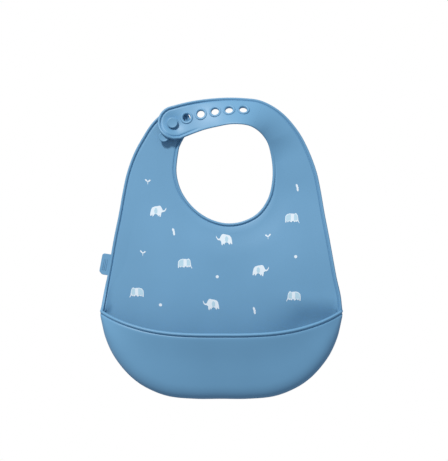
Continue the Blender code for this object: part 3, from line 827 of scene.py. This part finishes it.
def strap_sheet(first, last, holes):
    """One length of the strap, with its holes. The last length has the round end."""
    sheet = Sheet()
    count = round((last - first) / STRAP_STEP)
    rows = []
    for i in range(count + 1):
        on = (last - first) * i / count
        rows.append(ribbon_row(RIGHT_EDGE, first + on, first + NECK_LEAD + on))
    sheet.grid(rows)
    if last == STRAP_END:
        round_end(sheet, rows[-1], LOBE_CENTRE, LOBE_RADIUS, LOBE_ARC, LOBE_HEIGHTS, lobe_height)
    for number in holes:
        x, z, h, facing = ring_place(number)
        sheet.punch(place(x, z, h), facing, PUNCH)
    return sheet


def eyelet_ring(number):
    """A raised ring. The one on a button lies flatter under the button's head."""
    x, z, h, facing = ring_place(number)
    profile = RING
    if number == 0:
        h = WORN_RING_HEIGHT
        profile = [(radius, min(along, WORN_RING_FRONT)) for radius, along in RING]
    vertices, faces = turned(place(x, z, h), facing, profile, RING_STEPS)
    return mesh_object("eyelet_ring_%d" % (number + 1), vertices, faces, BLUE)


def button(name, x, z, foot):
    vertices, faces = turned(place(x, z, foot), Vector(FORWARD), STUD, STUD_STEPS)
    return mesh_object(name, vertices, faces, BLUE)


# ---------------------------------------------------------------- prints and tag
def front_height(x, z):
    """Height of the chest's front face at x, z."""
    hit = front_of_chest.ray_cast(Vector((x * MM, -0.05, z * MM)), Vector((0, 1, 0)))[0]
    return -hit.y / MM


def cells(outline):
    """The area inside an outline, cut into cells."""
    flat = bmesh.new()
    flat.faces.new([flat.verts.new((x, 0, z)) for x, z in outline])
    flat.normal_update()
    bmesh.ops.triangulate(flat, faces=flat.faces[:])
    for axis, normal in enumerate([(1, 0, 0), (0, 0, 1)]):
        low = min(p[axis] for p in outline)
        high = max(p[axis] for p in outline)
        for k in range(math.ceil(low / CELL), math.ceil(high / CELL)):
            cut = [c * CELL * k for c in normal]
            everything = flat.verts[:] + flat.edges[:] + flat.faces[:]
            bmesh.ops.bisect_plane(flat, geom=everything, plane_co=cut, plane_no=normal)
    flat.verts.index_update()
    points = [(v.co.x, v.co.z) for v in flat.verts]
    faces = [[v.index for v in face.verts] for face in flat.faces]
    flat.free()
    return points, faces


def ink(name, outline, x, z, mirrored, material, lift):
    """A thin printed patch that follows the panel. Its faces are turned to the front."""
    points, faces = cells(outline)
    around = [(x + px * mirrored, z + pz) for px, pz in points]
    sheet = Sheet()
    for px, pz in around:
        sheet.points.append(place(px, pz, front_height(px, pz)))
        sheet.offsets.append((lift, INK_DEPTH))
    for face in faces:
        corners = [around[v] for v in face]
        twice = sum(a[0] * b[1] - b[0] * a[1] for a, b in zip(corners, corners[1:] + corners[:1]))
        if abs(twice) > LEAST_AREA:
            sheet.faces.append(tuple(face) if twice > 0 else tuple(reversed(face)))
    patch = solid_object(name, sheet, material)
    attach(patch, "bib")
    return patch


def oval(x, z, wide, tall):
    steps = 20
    points = []
    for k in range(steps):
        angle = 2 * math.pi * k / steps
        points.append((x + wide * math.cos(angle), z + tall * math.sin(angle)))
    return points


def print_all():
    """Every print, and the tints on the elephants."""
    for name, outline, x, z, mirrored in PRINTS:
        patch = ink("print_" + name, outline, x, z, mirrored, INK_WHITE, INK_LIFT)
        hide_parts(name)
        tints = []
        if outline is ELEPHANT_RAISED:
            tints = [oval(*TINT_OVAL)]
        elif outline is ELEPHANT_LOWERED:
            tints = [TINT_FRONT, TINT_REAR]
        for number, tint in enumerate(tints):
            part = ink("tint_%s_%d" % (name, number + 1), tint, x, z, mirrored, INK_PALE, TINT_LIFT)
    for name, x, z in DOTS:
        patch = ink("print_" + name, oval(0, 0, DOT_RADIUS, DOT_RADIUS), x, z, 1, INK_WHITE, INK_LIFT)
        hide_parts(name)


def inset_loop(loop, distance):
    """A closed loop, counter-clockwise from the front, moved inward."""
    moved = []
    count = len(loop)
    for i, p in enumerate(loop):
        a = loop[i - 1]
        b = loop[(i + 1) % count]
        dx = b[0] - a[0]
        dz = b[1] - a[1]
        length = math.hypot(dx, dz)
        moved.append((p[0] - dz / length * distance, p[1] + dx / length * distance))
    return moved


def plate(loop, edge, middle):
    """A flat plate whose edge follows (inset, height) steps from back to front."""
    vertices = []
    count = len(loop)
    for distance, height in edge:
        vertices += [place(x, z, middle + height) for x, z in inset_loop(loop, distance)]
    faces = []
    top = (len(edge) - 1) * count
    for a in range(0, top, count):
        for i in range(count):
            n = (i + 1) % count
            faces.append((a + n, a + count + n, a + count + i, a + i))
    faces.append(tuple(range(top, top + count)))
    faces.append(tuple(reversed(range(count))))
    return vertices, faces


def side_tag():
    """The tag, with plain ribs along its outer side."""
    vertices, faces = plate(TAG, TAG_EDGE, HALF)
    along = Vector((TAG[4][0] - TAG[3][0], TAG[4][1] - TAG[3][1])).normalized()
    across = Vector((-along.y, along.x))
    for shift in RIB_SHIFTS:
        loop = []
        for k in range(RIB_STEPS):
            angle = 2 * math.pi * k / RIB_STEPS
            sideways = shift + RIB_RADIUS * math.sin(angle)
            lengthways = math.copysign(RIB_REACH, math.cos(angle)) + RIB_RADIUS * math.cos(angle)
            point = Vector(TAG_MIDDLE) + across * sideways + along * lengthways
            loop.append((point.x, point.y))
        more, extra = plate(loop, RIB_EDGE, HALF)
        start = len(vertices)
        vertices += more
        faces += [tuple(v + start for v in face) for face in extra]
    tag = mesh_object("side_tag_shell", vertices, faces, BLUE)
    for polygon in tag.data.polygons:
        polygon.use_smooth = len(polygon.vertices) < 5
    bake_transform(tag)
    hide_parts("side_tag")


# ---------------------------------------------------------------- floor, light and camera
def pale_floor():
    """A round pale floor well below the bib, whose rim fades out."""
    steps = 64
    radius = FLOOR_RADIUS / MM
    vertices = [Vector((0, 0, 0))]
    faces = []
    for k in range(steps):
        angle = 2 * math.pi * k / steps
        vertices.append(Vector((radius * math.cos(angle), radius * math.sin(angle), 0.0)))
        faces.append((0, k + 1, (k + 1) % steps + 1))
    material = bpy.data.materials.new("floor")
    material.use_nodes = True
    nodes = material.node_tree.nodes
    links = material.node_tree.links
    shader = nodes["Principled BSDF"]
    shader.inputs["Base Color"].default_value = FLOOR_COLOUR
    shader.inputs["Roughness"].default_value = 0.9
    where = nodes.new("ShaderNodeTexCoord")
    reach = nodes.new("ShaderNodeVectorMath")
    reach.operation = "LENGTH"
    fade = nodes.new("ShaderNodeMapRange")
    fade.interpolation_type = "SMOOTHSTEP"
    fade.inputs["From Min"].default_value = 0.30
    fade.inputs["From Max"].default_value = 0.88
    fade.inputs["To Min"].default_value = 1.0
    fade.inputs["To Max"].default_value = 0.0
    links.new(where.outputs["Object"], reach.inputs[0])
    links.new(reach.outputs["Value"], fade.inputs["Value"])
    links.new(fade.outputs["Result"], shader.inputs["Alpha"])
    floor = mesh_object("floor", vertices, faces, material)
    floor.location.z = -FLOOR_DROP
    floor.visible_diffuse = False
    floor.visible_glossy = False


def studio(scene):
    """Even light, a little stronger from above. The camera sees it as plain white."""
    world = bpy.data.worlds.new("studio")
    scene.world = world
    world.use_nodes = True
    nodes = world.node_tree.nodes
    links = world.node_tree.links
    where = nodes.new("ShaderNodeTexCoord")
    split = nodes.new("ShaderNodeSeparateXYZ")
    level = nodes.new("ShaderNodeMapRange")
    level.interpolation_type = "SMOOTHSTEP"
    level.inputs["From Min"].default_value = -0.6
    level.inputs["From Max"].default_value = 0.6
    level.inputs["To Min"].default_value = AMBIENT_BELOW
    level.inputs["To Max"].default_value = AMBIENT_ABOVE
    lighting = nodes["Background"]
    lighting.inputs["Color"].default_value = AMBIENT_COLOUR
    seen = nodes.new("ShaderNodeBackground")
    seen.inputs["Color"].default_value = (1, 1, 1, 1)
    seen.inputs["Strength"].default_value = 1.0
    ray = nodes.new("ShaderNodeLightPath")
    mix = nodes.new("ShaderNodeMixShader")
    links.new(where.outputs["Generated"], split.inputs["Vector"])
    links.new(split.outputs["Z"], level.inputs["Value"])
    links.new(level.outputs["Result"], lighting.inputs["Strength"])
    links.new(ray.outputs["Is Camera Ray"], mix.inputs["Fac"])
    links.new(lighting.outputs["Background"], mix.inputs[1])
    links.new(seen.outputs["Background"], mix.inputs[2])
    links.new(mix.outputs["Shader"], nodes["World Output"].inputs["Surface"])


def soft_light(scene, name, toward, size, energy, colour):
    """A round area light that faces the middle of the bib."""
    light = bpy.data.lights.new(name, "AREA")
    light.shape = "DISK"
    light.size = size
    light.energy = energy
    light.color = colour
    lamp = bpy.data.objects.new(name, light)
    toward = Vector(toward).normalized()
    lamp.location = Vector(LIGHT_TARGET) + toward * LIGHT_DISTANCE
    lamp.rotation_euler = toward.to_track_quat("Z", "Y").to_euler()
    scene.collection.objects.link(lamp)
    return lamp


def front_camera(scene):
    data = bpy.data.cameras.new("camera")
    data.lens = LENS
    data.sensor_width = SENSOR_WIDTH
    camera = bpy.data.objects.new("camera", data)
    camera.location = CAMERA_PLACE
    camera.rotation_euler = (math.pi / 2, 0, 0)
    scene.collection.objects.link(camera)
    scene.camera = camera


# ---------------------------------------------------------------- scene
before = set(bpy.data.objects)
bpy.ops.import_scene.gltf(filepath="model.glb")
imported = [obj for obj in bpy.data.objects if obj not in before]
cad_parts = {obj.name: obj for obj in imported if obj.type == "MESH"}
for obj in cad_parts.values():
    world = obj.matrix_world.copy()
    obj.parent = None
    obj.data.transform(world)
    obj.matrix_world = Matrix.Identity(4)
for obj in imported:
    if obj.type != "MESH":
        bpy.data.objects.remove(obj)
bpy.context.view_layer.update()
BLUE = silicone("silicone_blue", SILICONE)
INK_WHITE = silicone("print_white", WHITE, 0.6)
INK_PALE = silicone("print_pale", PALE, 0.6)

skin = Sheet()
skin.grid(chest_rows())
vertices, faces, caps = skin.solid()
chest = mesh_object("bib_shell", vertices, faces, BLUE, caps)
front_of_chest = BVHTree.FromPolygons([v * MM for v in vertices], faces)
shoulder_tab = solid_object("shoulder_tab_shell", tab_sheet(), BLUE)
pieces = {}
for name, first, last, holes in (
    ("strap_base_shell", SEAM, STRAP_MIDDLE_START, []),
    ("strap_middle_shell", STRAP_MIDDLE_START, STRAP_END_START, [5, 4]),
    ("strap_end_shell", STRAP_END_START, STRAP_END, [3, 2, 1, 0]),
):
    pieces[name] = solid_object(name, strap_sheet(first, last, holes), BLUE)
rings = [eyelet_ring(number) for number in range(len(EYELETS))]
studs = [button(name, x, z, foot) for name, (x, z), foot in BUTTONS]
print_all()
side_tag()

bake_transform(chest)
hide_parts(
    "chest_panel", "outer_rim_left", "outer_rim_right", "neck_rim", "pocket_base", "pocket_side_left",
    "pocket_side_right", "pocket_front", "lip_left", "lip_front", "lip_right",
)
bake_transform(shoulder_tab)
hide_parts("shoulder_tab", "tab_rim")
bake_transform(pieces["strap_base_shell"])
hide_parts("strap_shoulder", "strap_rim_shoulder")
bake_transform(pieces["strap_middle_shell"])
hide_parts("strap_middle", "strap_rim_middle")
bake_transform(pieces["strap_end_shell"])
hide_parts("strap_end", "strap_rim_end")
for k, ring in enumerate(rings):
    if k in (5, 4):
        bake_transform(ring)
    elif k in (3, 2):
        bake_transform(ring)
    else:
        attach(ring, "strap_end")
    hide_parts("eyelet_%d" % (k + 1))
for stud, node in zip(studs, ("stud_upper", "stud_lower")):
    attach(stud, "shoulder_tab")
    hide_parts(node)

pale_floor()
studio(bpy.context.scene)
soft_light(bpy.context.scene, "key", TOWARD_KEY, KEY_SIZE, KEY_ENERGY, KEY_COLOUR)
back = soft_light(bpy.context.scene, "back", TOWARD_BACK, BACK_SIZE, BACK_ENERGY, KEY_COLOUR)
back.visible_glossy = False
front_camera(bpy.context.scene)
bpy.context.scene.view_settings.view_transform = "Standard"
